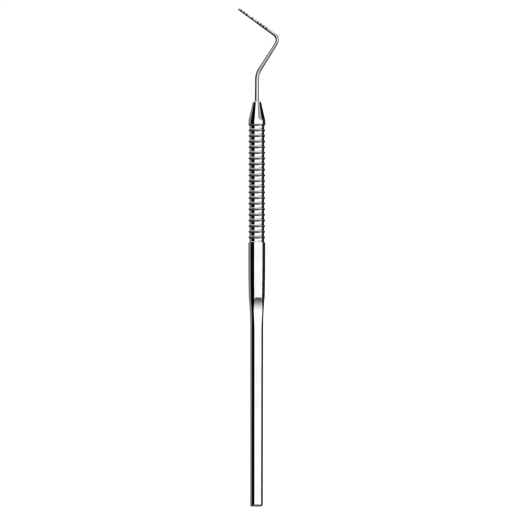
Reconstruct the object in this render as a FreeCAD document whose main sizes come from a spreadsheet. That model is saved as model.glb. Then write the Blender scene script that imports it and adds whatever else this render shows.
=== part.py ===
"""A graduated periodontal probe: a solid ribbed handle with a screw-in cone, a bent wire and its black marks.

Millimetres. The origin is the centre of the handle's rear end face, +Y runs along the handle towards the
working end, and +Z is up when the probe lies on two of its shaft flats. The bent wire lies in a plane that
holds the Y axis and is turned about it by clock_angle, which is how far round the thread stops.
"""

import FreeCAD, Part
import math
import os

import Sketcher
from FreeCAD import Placement, Rotation, Vector

# The driving dimensions: alias, value, meaning. Radii and lengths in mm, angles in degrees.
SIZES = [
    ("handle_length", 111.9, "butt face to the seam under the cone"),
    ("butt_corner_radius", 1.92, "rounded corners of the shaft, at the butt"),
    ("shaft_corner_radius", 1.97, "rounded corners of the shaft, where it starts to swell"),
    ("shaft_end", 51.5, "where the shaft starts to swell"),
    ("butt_flat", 1.605, "axis to flat, at the butt"),
    ("shaft_flat", 1.64, "axis to flat, where the flats start to rise"),
    ("flat_rise_start", 54.2, "where the flats start to rise"),
    ("ring_flat", 2.08, "axis to flat, at the wall that ends it"),
    ("ring_height", 60.8, "the wall that ends the flats"),
    ("ring_radius", 2.28, "radius of the handle at that wall"),
    ("barrel_start", 74.0, "where the barrel reaches its full radius"),
    ("barrel_radius", 2.45, "the smooth barrel and the base of the cone"),
    ("butt_round", 0.3, "edge round of the butt face"),
    ("rib_count", 21, "grooves in the grip"),
    ("rib_pitch", 1.655, "groove to groove"),
    ("rib_depth", 0.32, "crest to groove bottom"),
    ("rib_crest_width", 0.06, "narrow land on top of a rib"),
    ("rib_floor_width", 0.5, "straight bottom of a groove, between its curved sides"),
    ("rib_land", 0.145, "plain rim between the last groove and the seam"),
    ("thread_radius", 1.25, "outside of the stud's thread"),
    ("thread_core_radius", 0.98, "root of the stud's thread"),
    ("thread_pitch", 0.45, "one turn of the thread"),
    ("thread_turns", 9, "turns of thread on the stud"),
    ("thread_root_half_width", 0.06, "half of the flat at the thread's root"),
    ("thread_flank_slope", 0.577, "half-width gained per mm of radius on a 60 degree thread"),
    ("stud_length", 5.0, "seam to the end of the stud"),
    ("stud_relief", 0.55, "undercut between the seam and the thread"),
    ("stud_chamfer", 0.2, "lead-in chamfer of the stud and of its socket"),
    ("socket_clearance", 0.02, "gap between the thread's outside and the socket's wall"),
    ("socket_depth", 5.6, "depth of the socket's straight wall"),
    ("drill_tip", 0.4, "depth of the drill's point under the socket"),
    ("cone_base_height", 0.5, "straight rim at the base of the cone"),
    ("cone_swell_height", 0.9, "where the cone eases into its rim"),
    ("cone_length", 6.6, "seam to the cone's nose"),
    ("cone_shoulder_radius", 2.354, "cone radius where it starts to ease into the rim"),
    ("nose_radius", 1.25, "cone radius at the nose, before its edge round"),
    ("nose_round", 0.35, "edge round of the nose"),
    ("braze_gap", 0.04, "braze between the wire's root and its bore"),
    ("braze_leg", 0.22, "leg of the braze fillet at the nose"),
    ("wire_bore_depth", 6.2, "nose to the bottom of the wire's bore"),
    ("root_radius", 0.6, "wire radius in the cone"),
    ("root_stand_off", 0.5, "length above the nose at full root radius"),
    ("bend_one_height", 126.66, "butt to the point of the first bend"),
    ("bend_one_radius", 6.0, "centreline radius of the first bend"),
    ("bend_one_wire_radius", 0.545, "wire radius through the first bend"),
    ("shank_lean", 32.1, "angle that the shank leans from the handle's axis"),
    ("shank_length", 12.43, "point of the first bend to point of the second"),
    ("bend_two_radius", 2.0, "centreline radius of the second bend"),
    ("bend_two_wire_radius", 0.455, "wire radius through the second bend"),
    ("bend_two_turn", 86.3, "turn of the second bend"),
    ("tip_arm_length", 14.85, "point of the second bend to the end of the tip"),
    ("tip_radius", 0.32, "radius of the rounded tip"),
    ("mark_width", 0.33, "width of an engraved mark"),
    ("mark_depth", 0.08, "depth of an engraved mark"),
    ("mark_tool_radius", 0.8, "outside of the ring that cuts a mark"),
    ("clock_angle", 13.3, "turn of the wire's plane about the handle's axis, up from +X"),
]

# Distance of each mark from the end of the tip, in mm.
MARK_PLACES = [1, 2, 3, 5, 7, 8, 9, 10]

doc = FreeCAD.newDocument("periodontal_probe")
sheet = doc.addObject("Spreadsheet::Sheet", "sizes")
for row, (alias, size, meaning) in enumerate(SIZES, start=1):
    sheet.set(f"A{row}", alias)
    sheet.set(f"B{row}", str(size))
    sheet.set(f"C{row}", meaning)
    sheet.setAlias(f"B{row}", alias)
doc.recompute()


def number(expression):
    """The value of an expression on the sheet, as a plain number."""
    found = sheet.evalExpression(expression)
    return float(getattr(found, "Value", found))


def new_body(name):
    body = doc.addObject("PartDesign::Body", name)
    body.Label = name
    return body


def origin_plane(body, role):
    return next(plane for plane in body.Origin.OriginFeatures if plane.Role == role)


def pin_point(sketch, edge, end, x, y):
    """Hold one end of a sketch edge at two expressions, or on an axis where an expression is 0."""
    for kind, axis, expression in (("DistanceX", -2, x), ("DistanceY", -1, y)):
        if expression == "0":
            sketch.addConstraint(Sketcher.Constraint("PointOnObject", edge, end, axis))
        else:
            place = sketch.addConstraint(
                Sketcher.Constraint(kind, -1, 1, edge, end, number(expression)))
            sketch.setExpression(f"Constraints[{place}]", expression)


def arc_between(start, stop, radius):
    """The short arc from start to stop. A positive radius puts its centre on the left of the way."""
    chord = stop - start
    left = Vector(-chord.y, chord.x, 0).normalize()
    half = chord.Length / 2
    reach = (radius * radius - half * half) ** 0.5
    centre = start + chord * 0.5 + left * (reach if radius > 0 else -reach)
    first, last = (start, stop) if radius > 0 else (stop, start)
    first_angle = math.atan2(first.y - centre.y, first.x - centre.x)
    last_angle = math.atan2(last.y - centre.y, last.x - centre.x)
    return Part.ArcOfCircle(Part.Circle(centre, Vector(0, 0, 1), abs(radius)), first_angle, last_angle)


def outline(body, name, corners, arcs=None, plane="XY_Plane", offset=None):
    """A closed, fully held sketch through the corners.

    Each corner is a pair of expressions. arcs gives the radius of the edge that leaves a corner, as an
    expression, with its centre on the left of the way when it is positive and on the right when negative.
    """
    arcs = arcs or {}
    sketch = body.newObject("Sketcher::SketchObject", name)
    sketch.AttachmentSupport = [(origin_plane(body, plane), "")]
    sketch.MapMode = "FlatFace"
    if offset:
        sketch.setExpression("AttachmentOffset.Base.z", offset)
    points = [Vector(number(x), number(y), 0) for x, y in corners]
    ends = []
    for edge, start in enumerate(points):
        stop = points[(edge + 1) % len(points)]
        if edge in arcs:
            radius = number(arcs[edge])
            sketch.addGeometry(arc_between(start, stop, radius))
            ends.append((1, 2) if radius > 0 else (2, 1))
        else:
            sketch.addGeometry(Part.LineSegment(start, stop))
            ends.append((1, 2))
    for edge, (x, y) in enumerate(corners):
        following = (edge + 1) % len(corners)
        pin_point(sketch, edge, ends[edge][0], x, y)
        sketch.addConstraint(
            Sketcher.Constraint("Coincident", edge, ends[edge][1], following, ends[following][0]))
        if edge in arcs:
            size = arcs[edge].lstrip("-")
            place = sketch.addConstraint(
                Sketcher.Constraint("Radius", edge, number(size)))
            sketch.setExpression(f"Constraints[{place}]", size)
    doc.recompute()
    return sketch


def turned(body, kind, name, corners, arcs=None):
    """A Revolution or a Groove of an outline about the Y axis."""
    sketch = outline(body, f"{name}_outline", corners, arcs)
    feature = body.newObject(f"PartDesign::{kind}", name)
    feature.Profile = sketch
    feature.ReferenceAxis = (sketch, ["V_Axis"])
    feature.Angle = 360
    doc.recompute()
    return feature


def repeat_along(body, name, feature, count, pitch):
    """Repeat a feature up the Y axis."""
    pattern = body.newObject("PartDesign::LinearPattern", name)
    pattern.Originals = [feature]
    pattern.Direction = (feature.Profile[0], ["V_Axis"])
    pattern.setExpression("Occurrences", count)
    pattern.setExpression("Length", f"({count} - 1) * {pitch}")
    body.Tip = pattern
    doc.recompute()
    return pattern


def tangent_radius(run, rise):
    """Radius of an arc that starts level and climbs rise in run, as an expression."""
    return f"(({run})^2 + ({rise})^2) / (2 * ({rise}))"


def make_rear_shaft(body):
    """The turned rear shaft, up to the wall where its four flats end."""
    half_run = "(sizes.ring_height - sizes.shaft_end) / 2"
    half_rise = "(sizes.ring_radius - sizes.shaft_corner_radius) / 2"
    swell = tangent_radius(half_run, half_rise)
    turned(body, "Revolution", "rear_shaft", [
        ("0", "0"),
        ("sizes.butt_corner_radius", "0"),
        ("sizes.shaft_corner_radius", "sizes.shaft_end"),
        (f"sizes.shaft_corner_radius + {half_rise}", f"sizes.shaft_end + {half_run}"),
        ("sizes.ring_radius", "sizes.ring_height"),
        ("0", "sizes.ring_height"),
    ], {2: f"-{swell}", 3: swell})


def cut_flats(body):
    """Four flats on the rear shaft, which rise in a curve to a wall under the barrel."""
    flat_rise = tangent_radius("sizes.ring_height - sizes.flat_rise_start",
                               "sizes.ring_flat - sizes.shaft_flat")
    clear = "(sizes.barrel_radius + 0.5)"
    sketch = outline(body, "flat_outline", [
        ("sizes.butt_flat", "0"),
        (clear, "0"),
        (clear, "sizes.ring_height"),
        ("sizes.ring_flat", "sizes.ring_height"),
        ("sizes.shaft_flat", "sizes.flat_rise_start"),
    ], {3: flat_rise})
    flat = body.newObject("PartDesign::Pocket", "flat")
    flat.Profile = sketch
    flat.Midplane = True
    flat.setExpression("Length", "4 * sizes.barrel_radius")
    doc.recompute()
    flats = body.newObject("PartDesign::PolarPattern", "flats")
    flats.Originals = [flat]
    flats.Axis = (sketch, ["V_Axis"])
    flats.Angle = 360
    flats.Occurrences = 4
    body.Tip = flats
    doc.recompute()


def make_barrel(body):
    """The smooth barrel, and the grip's plain bar before its grooves are cut."""
    belly = tangent_radius("sizes.barrel_start - sizes.ring_height",
                           "sizes.barrel_radius - sizes.ring_radius")
    turned(body, "Revolution", "barrel", [
        ("0", "sizes.ring_height"),
        ("sizes.ring_radius", "sizes.ring_height"),
        ("sizes.barrel_radius", "sizes.barrel_start"),
        ("sizes.barrel_radius", "sizes.handle_length"),
        ("0", "sizes.handle_length"),
    ], {1: belly})


def cut_ribs(body):
    """One groove with curved sides and a straight bottom, repeated along the grip."""
    start = "(sizes.handle_length - sizes.rib_land - sizes.rib_count * sizes.rib_pitch)"
    low = f"({start} + sizes.rib_crest_width / 2)"
    high = f"({start} + sizes.rib_pitch - sizes.rib_crest_width / 2)"
    side_run = "((sizes.rib_pitch - sizes.rib_crest_width - sizes.rib_floor_width) / 2)"
    side = tangent_radius(side_run, "sizes.rib_depth")
    bottom = "(sizes.barrel_radius - sizes.rib_depth)"
    clear = "(sizes.barrel_radius + 0.5)"
    groove = turned(body, "Groove", "rib_groove", [
        ("sizes.barrel_radius", low),
        (clear, low),
        (clear, high),
        ("sizes.barrel_radius", high),
        (bottom, f"{high} - {side_run}"),
        (bottom, f"{low} + {side_run}"),
    ], {3: side, 5: side})
    repeat_along(body, "rib_grooves", groove, "sizes.rib_count", "sizes.rib_pitch")


def make_socket(body):
    """The blind threaded socket, with its wall at the thread's outside."""
    wall = "(sizes.thread_radius + sizes.socket_clearance)"
    bottom = "(sizes.handle_length - sizes.socket_depth)"
    turned(body, "Groove", "socket", [
        ("0", f"{bottom} - sizes.drill_tip"),
        (wall, bottom),
        (wall, "sizes.handle_length - sizes.stud_chamfer"),
        (f"{wall} + sizes.stud_chamfer", "sizes.handle_length"),
        ("0", "sizes.handle_length"),
    ])


def round_butt(body):
    """Round the edges of the butt face."""
    base = body.Tip
    names = [f"Edge{place}" for place, edge in enumerate(base.Shape.Edges, start=1)
             if all(abs(vertex.Y) < 1e-6 for vertex in edge.Vertexes)]
    rounded = body.newObject("PartDesign::Fillet", "butt_edge")
    rounded.Base = (base, names)
    rounded.setExpression("Radius", "sizes.butt_round")
    body.Tip = rounded
    doc.recompute()


def make_handle():
    body = new_body("handle")
    make_rear_shaft(body)
    make_barrel(body)
    cut_flats(body)
    cut_ribs(body)
    make_socket(body)
    round_butt(body)
    return body


def make_socket_cone():
    """The cone, with its threaded stud below the seam and the wire's bore in its nose."""
    body = new_body("socket_cone")
    seam = "sizes.handle_length"
    nose = "(sizes.handle_length + sizes.cone_length)"
    stud_end = "(sizes.handle_length - sizes.stud_length)"
    easing = tangent_radius("sizes.cone_swell_height", "sizes.barrel_radius - sizes.cone_shoulder_radius")
    turned(body, "Revolution", "cone_and_stud", [
        ("0", stud_end),
        ("sizes.thread_radius - sizes.stud_chamfer", stud_end),
        ("sizes.thread_radius", f"{stud_end} + sizes.stud_chamfer"),
        ("sizes.thread_radius", f"{seam} - sizes.stud_relief"),
        ("sizes.thread_core_radius", f"{seam} - sizes.stud_relief"),
        ("sizes.thread_core_radius", seam),
        ("sizes.barrel_radius", seam),
        ("sizes.barrel_radius", f"{seam} + sizes.cone_base_height"),
        ("sizes.cone_shoulder_radius", f"{seam} + sizes.cone_base_height + sizes.cone_swell_height"),
        ("sizes.nose_radius", f"{nose} - sizes.nose_round"),
        ("sizes.nose_radius - sizes.nose_round", nose),
        ("0", nose),
    ], {7: easing, 9: "sizes.nose_round"})
    thread_start = f"({stud_end} + sizes.stud_chamfer + sizes.thread_pitch / 2)"
    clear = "(sizes.thread_radius + 0.05)"
    half_mouth = f"(sizes.thread_root_half_width + ({clear} - sizes.thread_core_radius) * sizes.thread_flank_slope)"
    groove = turned(body, "Groove", "thread_groove", [
        ("sizes.thread_core_radius", f"{thread_start} - sizes.thread_root_half_width"),
        (clear, f"{thread_start} - {half_mouth}"),
        (clear, f"{thread_start} + {half_mouth}"),
        ("sizes.thread_core_radius", f"{thread_start} + sizes.thread_root_half_width"),
    ])
    repeat_along(body, "thread_grooves", groove, "sizes.thread_turns", "sizes.thread_pitch")
    bore = turned(body, "Groove", "wire_bore", [
        ("0", f"{nose} - sizes.wire_bore_depth"),
        ("sizes.root_radius + sizes.braze_gap", f"{nose} - sizes.wire_bore_depth"),
        ("sizes.root_radius + sizes.braze_gap", nose),
        ("0", nose),
    ])
    body.Tip = bore
    return body


def make_braze():
    """A sleeve between the wire's root and its bore, ending in a small concave fillet on the nose."""
    body = new_body("braze_fillet")
    nose = "(sizes.handle_length + sizes.cone_length)"
    turned(body, "Revolution", "braze", [
        ("sizes.root_radius", f"{nose} - sizes.wire_bore_depth"),
        ("sizes.root_radius + sizes.braze_gap", f"{nose} - sizes.wire_bore_depth"),
        ("sizes.root_radius + sizes.braze_gap", nose),
        ("sizes.root_radius + sizes.braze_leg", nose),
        ("sizes.root_radius", f"{nose} + sizes.braze_leg"),
    ], {3: "-sizes.braze_leg"})
    return body


def set_all(thing, expressions):
    """Bind several properties of an object to the sheet."""
    for place, expression in expressions.items():
        thing.setExpression(place, expression)


def lay_along(thing, x, y, turn):
    """Put a primitive's base at x, y in the wire's plane and point its axis at turn degrees from +Y."""
    set_all(thing, {"Placement": f"placement(vector({x}; {y}; 0); rotation({turn}; 0; -90))"})


def straight(name, x, y, turn, length, first, last):
    """A straight, tapering stretch of wire."""
    cone = doc.addObject("Part::Cone", name)
    set_all(cone, {"Height": length, "Radius1": first, "Radius2": last})
    lay_along(cone, x, y, turn)
    return cone


def cylinder(name, x, y, turn, length, radius):
    rod = doc.addObject("Part::Cylinder", name)
    set_all(rod, {"Height": length, "Radius": radius})
    lay_along(rod, x, y, turn)
    return rod


def bend(name, x, y, start, sweep, radius, wire_radius):
    """A bend in the wire's plane: its centre, the angle from +X where it starts, and its sweep."""
    torus = doc.addObject("Part::Torus", name)
    set_all(torus, {
        "Radius1": radius,
        "Radius2": wire_radius,
        "Angle3": sweep,
        "Placement": f"placement(vector({x}; {y}; 0); rotation({start}; 0; 0))",
    })
    return torus


LEAN = "sizes.shank_lean"
TIP_TURN = "(sizes.bend_two_turn - sizes.shank_lean)"
TANGENT_ONE = "(sizes.bend_one_radius * tan(sizes.shank_lean / 2))"
TANGENT_TWO = "(sizes.bend_two_radius * tan(sizes.bend_two_turn / 2))"


def up_shank(distance):
    """A point of the shank's centreline, at a distance from the point of the first bend."""
    return f"({distance}) * sin({LEAN})", f"sizes.bend_one_height + ({distance}) * cos({LEAN})"


def up_tip(distance):
    """A point of the tip arm's centreline, at a distance from the point of the second bend."""
    x, y = up_shank("sizes.shank_length")
    return f"{x} - ({distance}) * sin({TIP_TURN})", f"{y} + ({distance}) * cos({TIP_TURN})"


def make_wire_blank():
    """The bent wire before it is engraved, in the XY plane."""
    nose = "(sizes.handle_length + sizes.cone_length)"
    root_bottom = f"({nose} - sizes.wire_bore_depth)"
    root_length = "(sizes.wire_bore_depth + sizes.root_stand_off)"
    neck_start = f"({nose} + sizes.root_stand_off)"
    bend_one_start = f"(sizes.bend_one_height - {TANGENT_ONE})"
    shank_run = f"(sizes.shank_length - {TANGENT_TWO})"
    two_x = f"{shank_run} * sin({LEAN}) - sizes.bend_two_radius * cos({LEAN})"
    two_y = f"sizes.bend_one_height + {shank_run} * cos({LEAN}) + sizes.bend_two_radius * sin({LEAN})"
    tip_run = f"(sizes.tip_arm_length - {TANGENT_TWO} - sizes.tip_radius)"
    tip_centre = up_tip("sizes.tip_arm_length - sizes.tip_radius")
    tip = doc.addObject("Part::Sphere", "tip_ball")
    set_all(tip, {
        "Radius": "sizes.tip_radius",
        "Placement": f"placement(vector({tip_centre[0]}; {tip_centre[1]}; 0); rotation({TIP_TURN}; 0; -90))",
    })
    blank = doc.addObject("Part::MultiFuse", "wire_blank")
    blank.Shapes = [
        cylinder("root", "0", root_bottom, "0", root_length, "sizes.root_radius"),
        straight("neck", "0", neck_start, "0", f"{bend_one_start} - {neck_start}",
                 "sizes.root_radius", "sizes.bend_one_wire_radius"),
        bend("bend_one", "sizes.bend_one_radius", bend_one_start, f"180 - {LEAN}", LEAN,
             "sizes.bend_one_radius", "sizes.bend_one_wire_radius"),
        straight("shank", *up_shank(TANGENT_ONE), f"-{LEAN}", f"{shank_run} - {TANGENT_ONE}",
                 "sizes.bend_one_wire_radius", "sizes.bend_two_wire_radius"),
        bend("bend_two", two_x, two_y, f"-{LEAN}", "sizes.bend_two_turn",
             "sizes.bend_two_radius", "sizes.bend_two_wire_radius"),
        straight("tip_arm", *up_tip(TANGENT_TWO), TIP_TURN, tip_run,
                 "sizes.bend_two_wire_radius", "sizes.tip_radius"),
        tip,
    ]
    doc.recompute()
    return blank


def make_mark_tool(place):
    """The ring of metal that engraving removes for the mark at a distance from the tip."""
    tip_slope = ("(sizes.bend_two_wire_radius - sizes.tip_radius)"
                 f" / (sizes.tip_arm_length - {TANGENT_TWO} - sizes.tip_radius)")
    core = f"sizes.tip_radius + ({place} - sizes.tip_radius) * {tip_slope} - sizes.mark_depth"
    x, y = up_tip(f"sizes.tip_arm_length - {place} - sizes.mark_width / 2")
    ring = doc.addObject("Part::Cut", f"mark_tool_{place}")
    ring.Base = cylinder(f"mark_outside_{place}", x, y, TIP_TURN, "sizes.mark_width", "sizes.mark_tool_radius")
    ring.Tool = cylinder(f"mark_core_{place}", x, y, TIP_TURN, "sizes.mark_width", core)
    return ring


def clock(thing):
    """Turn a finished piece of the wire about the handle's axis to where the thread stops."""
    thing.Placement = Placement(Vector(), Rotation(Vector(0, -1, 0), number("sizes.clock_angle")))
    thing.setExpression("Placement.Rotation.Angle", "sizes.clock_angle")
    return thing


def make_wire_and_marks():
    """The engraved wire, and the black filling of each mark."""
    blank = make_wire_blank()
    tools = [make_mark_tool(place) for place in MARK_PLACES]
    engraving = doc.addObject("Part::MultiFuse", "engraving")
    engraving.Shapes = tools
    wire = doc.addObject("Part::Cut", "probe_wire")
    wire.Base = blank
    wire.Tool = engraving
    pieces = [clock(wire)]
    for place, tool in zip(MARK_PLACES, tools):
        filling = doc.addObject("Part::Common", f"mark_{place:02d}mm")
        filling.Base = blank
        filling.Tool = tool
        pieces.append(clock(filling))
    for piece in pieces:
        piece.Label = piece.Name
    doc.recompute()
    return pieces


def check(pieces):
    """Stop on any failed object and on any sub-part that isn't one valid solid or more."""
    doc.recompute()
    for thing in doc.Objects:
        if {"Invalid", "Error"} & set(thing.State):
            raise RuntimeError(f"{thing.Name}: {thing.State}")
    for piece in pieces:
        shape = piece.Shape
        if shape.isNull() or not shape.isValid() or not shape.Solids:
            raise RuntimeError(f"{piece.Label}: no valid solid")
        box = shape.optimalBoundingBox()
        print(f"{piece.Label:14s} {len(shape.Solids)} solid {shape.Volume:9.3f} mm3  "
              f"x {box.XMin:.2f} {box.XMax:.2f}  y {box.YMin:.2f} {box.YMax:.2f}  z {box.ZMin:.2f} {box.ZMax:.2f}")


def export(pieces):
    os.makedirs("parts", exist_ok=True)
    for piece in pieces:
        piece.Shape.exportStep(os.path.join("parts", f"{piece.Label}.step"))


PIECES = [make_handle(), make_socket_cone(), make_braze()] + make_wire_and_marks()
check(PIECES)
export(PIECES)
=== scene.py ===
"""The graduated periodontal probe on a pale light table, seen square to the plane of its bent wire."""

import math

import bpy
from mathutils import Matrix, Vector


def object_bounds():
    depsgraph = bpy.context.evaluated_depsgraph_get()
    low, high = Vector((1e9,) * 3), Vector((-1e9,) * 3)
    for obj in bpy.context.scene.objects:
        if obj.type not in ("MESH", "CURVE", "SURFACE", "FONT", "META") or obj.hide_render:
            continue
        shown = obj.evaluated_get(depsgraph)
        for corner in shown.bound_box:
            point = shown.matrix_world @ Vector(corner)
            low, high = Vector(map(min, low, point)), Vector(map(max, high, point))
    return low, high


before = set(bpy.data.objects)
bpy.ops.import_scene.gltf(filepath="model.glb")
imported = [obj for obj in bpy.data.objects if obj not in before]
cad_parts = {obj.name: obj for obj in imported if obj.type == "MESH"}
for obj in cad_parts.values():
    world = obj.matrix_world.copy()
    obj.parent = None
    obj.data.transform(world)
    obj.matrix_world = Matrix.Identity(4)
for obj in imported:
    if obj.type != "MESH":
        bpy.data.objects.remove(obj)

CAD_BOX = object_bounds()

MM = 0.001

# The camera looks square at the plane of the bent wire, which is turned about the handle's axis.
CLOCK = math.radians(13.3)
VIEW_RIGHT = Vector((math.cos(CLOCK), 0.0, math.sin(CLOCK)))
ALONG_HANDLE = Vector((0.0, 1.0, 0.0))
LEVEL_TO_CAMERA = Vector((-math.sin(CLOCK), 0.0, math.cos(CLOCK)))

# The camera is a little on the butt's side, so it sees the ribs and the butt slightly from below.
CAMERA_DROP = math.radians(6.0)
TO_CAMERA = LEVEL_TO_CAMERA * math.cos(CAMERA_DROP) - ALONG_HANDLE * math.sin(CAMERA_DROP)
VIEW_UP = ALONG_HANDLE * math.cos(CAMERA_DROP) + LEVEL_TO_CAMERA * math.sin(CAMERA_DROP)
CAMERA_DISTANCE = 4.0
SENSOR_WIDTH = 36.0
VIEW_WIDTH = 149.35 * MM
VIEW_CENTRE = ALONG_HANDLE * (73.2 * MM) - VIEW_RIGHT * (0.21 * MM)
CAMERA_ROLL = math.radians(0.06)


# ---------------------------------------------------------------- node helpers

class Nodes:
    """A small helper that adds nodes to a tree and links them."""

    def __init__(self, tree):
        self.tree = tree
        tree.nodes.clear()

    def add(self, kind, inputs=None, **settings):
        node = self.tree.nodes.new(kind)
        for name, setting in settings.items():
            setattr(node, name, setting)
        for name, source in (inputs or {}).items():
            self.feed(node.inputs[name], source)
        return node

    def feed(self, socket, source):
        if isinstance(source, bpy.types.NodeSocket):
            self.tree.links.new(source, socket)
        else:
            socket.default_value = source

    def math(self, operation, first, second=0.0):
        node = self.add("ShaderNodeMath", {0: first, 1: second}, operation=operation)
        return node.outputs[0]

    def remap(self, source, low, high, to_low=0.0, to_high=1.0, smooth=True):
        """Map low..high to to_low..to_high, clamped."""
        node = self.add("ShaderNodeMapRange", {
            "Value": source, "From Min": low, "From Max": high, "To Min": to_low, "To Max": to_high,
        }, clamp=True, interpolation_type="SMOOTHSTEP" if smooth else "LINEAR")
        return node.outputs["Result"]

    def above(self, angle, low, high):
        """0 under low degrees, rising to 1 over high degrees."""
        return self.remap(angle, math.radians(low), math.radians(high))

    def below(self, angle, low, high):
        """1 under low degrees, falling to 0 over high degrees."""
        return self.remap(angle, math.radians(low), math.radians(high), 1.0, 0.0)

    def mix(self, share, first, second):
        """A grey level between first and second."""
        node = self.add("ShaderNodeMix", {"Factor": share, "A": first, "B": second}, data_type="FLOAT")
        return node.outputs[0]


# ---------------------------------------------------------------- studio

def dot_with(nodes, direction, axis):
    node = nodes.add("ShaderNodeVectorMath", {0: direction, 1: tuple(axis)}, operation="DOT_PRODUCT")
    return node.outputs["Value"]


def band(nodes, angle, start, stop, soft):
    """1 between two angles, fading to 0 over soft outside them. Degrees."""
    rising = nodes.above(angle, start - soft, start)
    falling = nodes.below(angle, stop, stop + soft)
    return nodes.math("MULTIPLY", rising, falling)


# Levels are display levels, because the view transform is Raw. Angles around the handle run from the
# camera's direction, positive to its right, and heights run up from level towards the working end.
WHITE_WALL = 1.06
TOP_LIGHT = 1.0
STEEP_FLOOR = 0.55

# Cards that only the cone sees: start, stop and softness around, lowest height, level.
RAISED_CARDS = [
    (31, 38, 6, 23, 0.3),
    (46, 76, 5, 14, 0.7),
    (84, 130, 5, 14, 0.03),
]


def make_surroundings():
    """White walls with dark cards, as the polished steel sees them. The camera sees plain white."""
    world = bpy.data.worlds.new("studio")
    bpy.context.scene.world = world
    world.use_nodes = True
    nodes = Nodes(world.node_tree)
    direction = nodes.add("ShaderNodeTexCoord").outputs["Generated"]
    right = dot_with(nodes, direction, VIEW_RIGHT)
    up = dot_with(nodes, direction, ALONG_HANDLE)
    toward = dot_with(nodes, direction, LEVEL_TO_CAMERA)
    around = nodes.math("ARCTAN2", right, toward)
    height = nodes.math("ARCSINE", up)

    level = WHITE_WALL
    level = nodes.mix(band(nodes, around, -180, -90, 2), level, 0.5)
    level = nodes.mix(band(nodes, around, 90, 180, 3), level, 0.14)
    for start, stop, soft, lowest, shade in RAISED_CARDS:
        raised = nodes.above(height, lowest, lowest + 8)
        card = nodes.math("MULTIPLY", band(nodes, around, start, stop, soft), raised)
        level = nodes.mix(card, level, shade)
    left_card = nodes.math("MULTIPLY", band(nodes, around, -88, -39, 2.5), nodes.below(height, 33, 43))
    level = nodes.mix(left_card, level, 0.01)
    level = nodes.mix(nodes.above(height, 36, 48), level, TOP_LIGHT)

    # Looking down is dark, from just under level on the left and ahead, and from lower on the right.
    to_the_right = nodes.above(around, 25, 50)
    floor_edge = nodes.mix(to_the_right, nodes.below(height, -12, 0), nodes.below(height, -38, -10))
    level = nodes.mix(floor_edge, level, 0.1)
    level = nodes.mix(nodes.below(height, -58, -28), level, STEEP_FLOOR)

    seen_by_steel = nodes.add("ShaderNodeBackground", {"Color": level, "Strength": 1.0})
    seen_by_camera = nodes.add("ShaderNodeBackground", {"Color": (1.0, 1.0, 1.0, 1.0), "Strength": 1.0})
    camera_ray = nodes.add("ShaderNodeLightPath").outputs["Is Camera Ray"]
    either = nodes.add("ShaderNodeMixShader",
                       {0: camera_ray, 1: seen_by_steel.outputs[0], 2: seen_by_camera.outputs[0]})
    nodes.add("ShaderNodeOutputWorld", {"Surface": either.outputs[0]})


def make_floor():
    """A pale light table under the probe, bright enough to lose its shadow."""
    half_side = 3.0
    mesh = bpy.data.meshes.new("light_table")
    rest_height = CAD_BOX[0].z
    corners = [(-half_side, -half_side), (half_side, -half_side), (half_side, half_side), (-half_side, half_side)]
    mesh.from_pydata([(x, y, rest_height) for x, y in corners], [], [(0, 1, 2, 3)])
    floor = bpy.data.objects.new("light_table", mesh)
    bpy.context.scene.collection.objects.link(floor)
    material = bpy.data.materials.new("pale_table")
    material.use_nodes = True
    nodes = Nodes(material.node_tree)
    surface = nodes.add("ShaderNodeBsdfPrincipled", {
        "Base Color": (0.05, 0.05, 0.05, 1.0),
        "Roughness": 0.9,
        "Emission Color": (1.0, 1.0, 1.0, 1.0),
        "Emission Strength": 0.98,
    })
    nodes.add("ShaderNodeOutputMaterial", {"Surface": surface.outputs[0]})
    mesh.materials.append(material)
    floor.visible_glossy = False


def make_light():
    """One large soft light over the table, for the floor and the duller surfaces."""
    data = bpy.data.lights.new("soft_box", "AREA")
    data.shape = "SQUARE"
    data.size = 1.2
    data.energy = 12.0
    light = bpy.data.objects.new("soft_box", data)
    light.matrix_world = Matrix.Translation((0.2, 0.3, 1.2)) @ Matrix.Rotation(math.radians(10), 4, "Y")
    light.visible_glossy = False
    bpy.context.scene.collection.objects.link(light)


def make_camera():
    data = bpy.data.cameras.new("camera")
    data.sensor_width = SENSOR_WIDTH
    data.lens = SENSOR_WIDTH * CAMERA_DISTANCE / VIEW_WIDTH
    data.clip_start = 0.01
    data.clip_end = 20.0
    camera = bpy.data.objects.new("camera", data)
    bpy.context.scene.collection.objects.link(camera)
    turn = Matrix((VIEW_RIGHT, VIEW_UP, TO_CAMERA)).transposed().to_4x4()
    roll = Matrix.Rotation(CAMERA_ROLL, 4, "Z")
    camera.matrix_world = Matrix.Translation(VIEW_CENTRE + TO_CAMERA * CAMERA_DISTANCE) @ turn @ roll
    bpy.context.scene.camera = camera


# ---------------------------------------------------------------- materials

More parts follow.
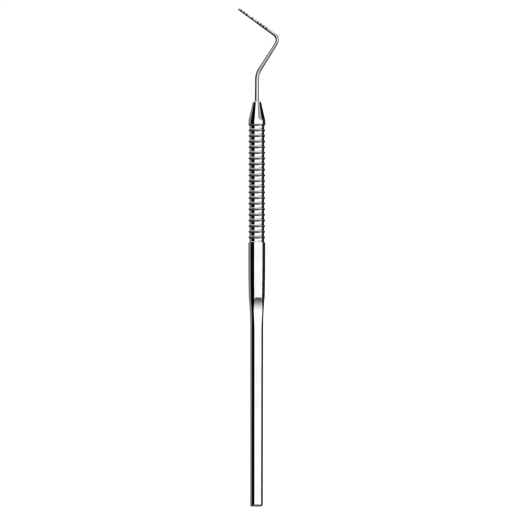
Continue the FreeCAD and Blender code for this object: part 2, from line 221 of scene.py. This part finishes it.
def steel(name, color, roughness, spread, grain, grain_height):
    """Polished stainless steel: its grain is stretched along the axis where grain is small."""
    material = bpy.data.materials.new(name)
    material.use_nodes = True
    nodes = Nodes(material.node_tree)
    place = nodes.add("ShaderNodeTexCoord").outputs["Object"]
    stretched = nodes.add("ShaderNodeMapping", {"Vector": place, "Scale": grain}).outputs["Vector"]
    scratches = nodes.add("ShaderNodeTexNoise", {
        "Vector": stretched, "Scale": 1.0, "Detail": 4.0, "Roughness": 0.6}).outputs["Fac"]
    handling = nodes.add("ShaderNodeTexNoise", {
        "Vector": place, "Scale": 160.0, "Detail": 3.0, "Roughness": 0.55}).outputs["Fac"]
    haze = nodes.remap(handling, 0.42, 0.68)
    rough = nodes.math("ADD", nodes.remap(scratches, 0.3, 0.7, roughness - spread, roughness + spread),
                       nodes.math("MULTIPLY", haze, spread))
    dull = tuple(0.97 * channel for channel in color)
    tint = nodes.add("ShaderNodeMix", {
        "Factor": haze, "A": (*color, 1.0), "B": (*dull, 1.0)}, data_type="RGBA")
    bump = nodes.add("ShaderNodeBump", {"Height": scratches, "Strength": 1.0, "Distance": grain_height})
    surface = nodes.add("ShaderNodeBsdfPrincipled", {
        "Base Color": tint.outputs[2],
        "Metallic": 1.0,
        "Roughness": rough,
        "Normal": bump.outputs["Normal"],
    })
    nodes.add("ShaderNodeOutputMaterial", {"Surface": surface.outputs[0]})
    return material


def black_filling():
    """Matt black ring filling, a little uneven and chalky."""
    material = bpy.data.materials.new("black_filling")
    material.use_nodes = True
    nodes = Nodes(material.node_tree)
    place = nodes.add("ShaderNodeTexCoord").outputs["Object"]
    grain = nodes.add("ShaderNodeTexNoise", {
        "Vector": place, "Scale": 9000.0, "Detail": 3.0, "Roughness": 0.6}).outputs["Fac"]
    tint = nodes.add("ShaderNodeMix", {
        "Factor": nodes.remap(grain, 0.45, 0.75),
        "A": (0.05, 0.05, 0.05, 1.0), "B": (0.11, 0.11, 0.108, 1.0)}, data_type="RGBA")
    bump = nodes.add("ShaderNodeBump", {"Height": grain, "Strength": 0.6, "Distance": 0.004 * MM})
    surface = nodes.add("ShaderNodeBsdfPrincipled", {
        "Base Color": tint.outputs[2],
        "Roughness": nodes.remap(grain, 0.3, 0.7, 0.45, 0.7),
        "Normal": bump.outputs["Normal"],
    })
    nodes.add("ShaderNodeOutputMaterial", {"Surface": surface.outputs[0]})
    return material


def dress(node, material):
    """Give every slot of a CAD node one material."""
    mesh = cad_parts[node].data
    for slot in range(len(mesh.materials)):
        mesh.materials[slot] = material


def dress_all():
    polished = (0.95, 0.95, 0.95)
    along = (14000.0, 120.0, 14000.0)
    around = (900.0, 16000.0, 900.0)
    dress("handle", steel("handle_steel", polished, 0.06, 0.02, along, 0.0002 * MM))
    dress("socket_cone", steel("cone_steel", polished, 0.06, 0.02, around, 0.0002 * MM))
    fine = (9000.0, 9000.0, 9000.0)
    dress("probe_wire", steel("wire_steel", (0.85, 0.85, 0.85), 0.16, 0.05, fine, 0.0003 * MM))
    coarse = (5000.0, 5000.0, 5000.0)
    dress("braze_fillet", steel("braze_silver", (0.83, 0.82, 0.79), 0.22, 0.06, coarse, 0.001 * MM))
    black = black_filling()
    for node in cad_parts:
        if node.startswith("mark_"):
            dress(node, black)


make_surroundings()
make_floor()
make_light()
make_camera()
dress_all()

# Raw keeps a surface's level as its display level, so fine dark edges keep their depth.
view = bpy.context.scene.view_settings
view.view_transform = "Raw"
view.look = "None"
